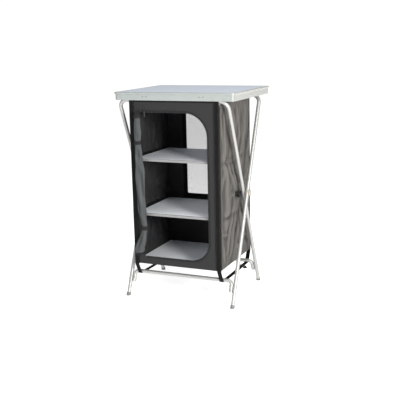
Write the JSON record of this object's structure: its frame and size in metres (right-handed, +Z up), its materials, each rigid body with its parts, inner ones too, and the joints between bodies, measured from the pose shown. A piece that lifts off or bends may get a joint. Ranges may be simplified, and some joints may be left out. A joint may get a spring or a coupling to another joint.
{
  "type": "camping kitchen cupboard",
  "caption": "Folding fabric cupboard with shelves, hung between two crossed tube frames under a removable aluminium-rimmed tabletop, with a rolled-up zip door.",
  "frame": {"origin": "on the floor, in the middle of the whole object's box", "axes": "+X to the right as seen from the front, the front with the door faces -Y, +Z up"},
  "size_m": [0.634, 0.5529, 1.04],
  "materials": {
    "top_board": "pale grey laminate, satin",
    "rim": "satin anodised",
    "rivets": "bright",
    "bearers": "mill finish",
    "pads": "moulded",
    "tubes": "satin anodised",
    "feet": "moulded dark grey",
    "steel": "zinc plated",
    "black_plastic": "moulded",
    "caps": "moulded beige",
    "webbing": "woven black webbing",
    "sleeves": "plain weave black",
    "front_cloth": "plain weave charcoal outside, black coating inside",
    "zip": "black zip tape with a coil",
    "door_cloth": "plain weave grey, rolled",
    "side_cloth": "plain weave taupe grey outside, black coating inside",
    "gauze": "fine pale gauze",
    "shelves": "light grey laminate",
    "trim": "pale edge profile",
    "zip_metal": "black"
  },
  "bodies": {
    "pivots": {"pivot_bolts": "steel", "pivot_washers": "pads", "pivot_nuts": "black_plastic", "pivot_caps": "caps", "side_ties": "webbing"},
    "rear_top_frame": {"rear_top_tube": "tubes", "rear_top_legs": "tubes", "rear_top_plugs": "pads", "front_crossbar": "tubes", "front_bar_rivets": "rivets", "front_feet": "feet", "rear_sleeve": "sleeves"},
    "front_top_frame": {"front_top_tube": "tubes", "front_top_legs": "tubes", "front_top_plugs": "pads", "rear_crossbar": "tubes", "rear_bar_rivets": "rivets", "rear_feet": "feet", "front_sleeve": "sleeves"},
    "cupboard": {"left_panel": "side_cloth", "right_panel": "side_cloth", "floor_panel": "front_cloth", "left_shelf_ledges": "webbing", "right_shelf_ledges": "webbing"},
    "front_cloth": {"front_panel": "front_cloth", "door_zip": "zip", "door_roll": "door_cloth", "door_ties": "webbing"},
    "back_cloth": {"back_panel": "side_cloth", "window_mesh": "gauze", "window_border": "webbing"},
    "tabletop": {"table_board": "top_board", "rim_front": "rim", "rim_right": "rim", "rim_rear": "rim", "rim_left": "rim", "rim_corners": "rim", "rim_rivets": "rivets", "left_bearer": "bearers", "right_bearer": "bearers", "tube_pads": "pads"},
    "base_board": {"base_board": "shelves"},
    "lower_shelf": {"lower_shelf": "shelves", "lower_shelf_trim": "trim"},
    "upper_shelf": {"upper_shelf": "shelves", "upper_shelf_trim": "trim"},
    "zip_slider": {"zip_slider": "zip_metal"},
    "zip_pull": {"zip_pull": "zip_metal"},
    "left_sling": {"left_strap": "webbing"},
    "right_sling": {"right_strap": "webbing"},
    "left_buckle_set": {"left_buckle": "black_plastic", "left_strap_tail": "webbing"},
    "right_buckle_set": {"right_buckle": "black_plastic", "right_strap_tail": "webbing"}
  },
  "joints": [
    {"name": "rear_frame_fold", "type": "hinge", "parent": "pivots", "child": "rear_top_frame", "pos_m": [0, -0.03127, 0.53], "axis": [1, 0, 0], "range_deg": [0, 21.2], "deforming": ["front_panel", "door_zip", "door_roll", "door_ties", "back_panel", "window_mesh", "window_border", "left_panel", "right_panel", "floor_panel", "left_strap", "right_strap", "left_shelf_ledges", "right_shelf_ledges", "side_ties"]},
    {"name": "front_frame_fold", "type": "hinge", "parent": "pivots", "child": "front_top_frame", "pos_m": [0, -0.03127, 0.53], "axis": [1, 0, 0], "range_deg": [-21.2, 0]},
    {"name": "cupboard_rise", "type": "slide", "parent": "pivots", "child": "cupboard", "axis": [0, 0, 1], "range_m": [0, 0.04131]},
    {"name": "front_cloth_close", "type": "slide", "parent": "cupboard", "child": "front_cloth", "axis": [0, 1, 0], "range_m": [0, 0.18253]},
    {"name": "back_cloth_close", "type": "slide", "parent": "cupboard", "child": "back_cloth", "axis": [0, -1, 0], "range_m": [0, 0.18253]},
    {"name": "tabletop_lift", "type": "slide", "parent": "pivots", "child": "tabletop", "axis": [0, 0, 1], "range_m": [0, 0.3]},
    {"name": "base_board_tilt", "type": "hinge", "parent": "cupboard", "child": "base_board", "pos_m": [0, -0.13102, 0.30025], "axis": [1, 0, 0], "range_deg": [0, 90]},
    {"name": "lower_shelf_tilt", "type": "hinge", "parent": "cupboard", "child": "lower_shelf", "pos_m": [0, -0.03127, 0.4295], "axis": [1, 0, 0], "range_deg": [0, 90]},
    {"name": "upper_shelf_tilt", "type": "hinge", "parent": "cupboard", "child": "upper_shelf", "pos_m": [0, -0.03927, 0.6975], "axis": [1, 0, 0], "range_deg": [0, 90]},
    {"name": "zip_slide", "type": "slide", "parent": "front_cloth", "child": "zip_slider", "axis": [1, 0, 0], "range_m": [0, 0.195]},
    {"name": "zip_pull_swing", "type": "hinge", "parent": "zip_slider", "child": "zip_pull", "pos_m": [-0.15, -0.25246, 0.948], "axis": [-1, 0, 0], "range_deg": [0, 150]},
    {"name": "left_sling_drop", "type": "slide", "parent": "pivots", "child": "left_sling", "axis": [0, 0, -1], "range_m": [0, 0.046]},
    {"name": "right_sling_drop", "type": "slide", "parent": "pivots", "child": "right_sling", "axis": [0, 0, -1], "range_m": [0, 0.046]},
    {"name": "left_buckle_slide", "type": "slide", "parent": "left_sling", "child": "left_buckle_set", "axis": [0, -1, 0], "range_m": [0, 0.091]},
    {"name": "right_buckle_slide", "type": "slide", "parent": "right_sling", "child": "right_buckle_set", "axis": [0, -1, 0], "range_m": [0, 0.091]}
  ],
  "couplings": [
    {"joint": "front_frame_fold", "follows": "rear_frame_fold", "ratio": -1},
    {"joint": "cupboard_rise", "follows": "rear_frame_fold", "m_per_rad": 0.11162},
    {"joint": "front_cloth_close", "follows": "rear_frame_fold", "m_per_rad": 0.49329},
    {"joint": "back_cloth_close", "follows": "rear_frame_fold", "m_per_rad": 0.49329},
    {"joint": "tabletop_lift", "follows": "rear_frame_fold", "m_per_rad": 0.8},
    {"joint": "base_board_tilt", "follows": "rear_frame_fold", "ratio": 4.2452},
    {"joint": "lower_shelf_tilt", "follows": "rear_frame_fold", "ratio": 4.2452},
    {"joint": "upper_shelf_tilt", "follows": "rear_frame_fold", "ratio": 4.2452},
    {"joint": "left_sling_drop", "follows": "rear_frame_fold", "m_per_rad": 0.12432},
    {"joint": "right_sling_drop", "follows": "rear_frame_fold", "m_per_rad": 0.12432},
    {"joint": "left_buckle_slide", "follows": "rear_frame_fold", "m_per_rad": 0.24594},
    {"joint": "right_buckle_slide", "follows": "rear_frame_fold", "m_per_rad": 0.24594}
  ]
}
